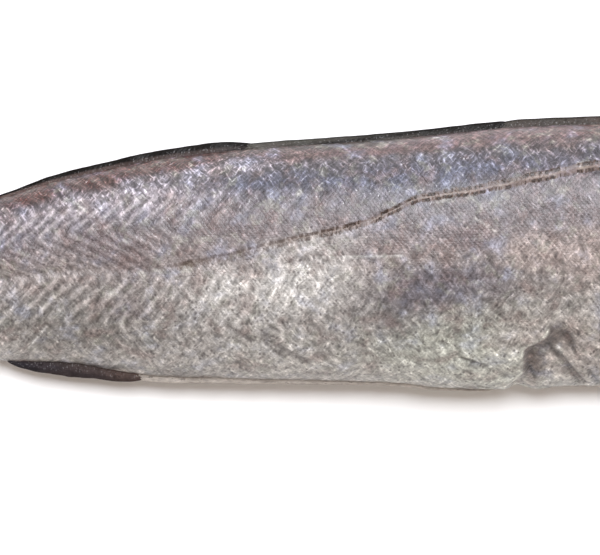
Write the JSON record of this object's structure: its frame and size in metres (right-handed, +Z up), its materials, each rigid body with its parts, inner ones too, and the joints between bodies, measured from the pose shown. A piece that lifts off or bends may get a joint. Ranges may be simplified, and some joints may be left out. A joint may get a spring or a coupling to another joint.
{
  "type": "headed and gutted cod",
  "caption": "Whole cod with its head and insides removed, lying on its side: silvery trunk, open empty belly, folded fins and tail fin.",
  "frame": {"origin": "centre of the fish's box, on the surface that it lies on", "axes": "+X from the tail to the cut nape, +Y from the belly to the back, +Z up through the fish's thickness"},
  "size_m": [0.4964, 0.0998, 0.0592],
  "materials": {
    "skin": "wet raw fish skin, silvery pinkish grey with fine scales, darker back",
    "fin": "wet dark olive fin skin over fine rays",
    "flesh": "wet raw white fish flesh in flakes, faintly pink",
    "lining": "wet thin belly lining, grey with small dark specks",
    "bone": "cut backbone, off-white with a red-brown rim"
  },
  "bodies": {
    "root": {"cod": "skin"}
  },
  "joints": []
}
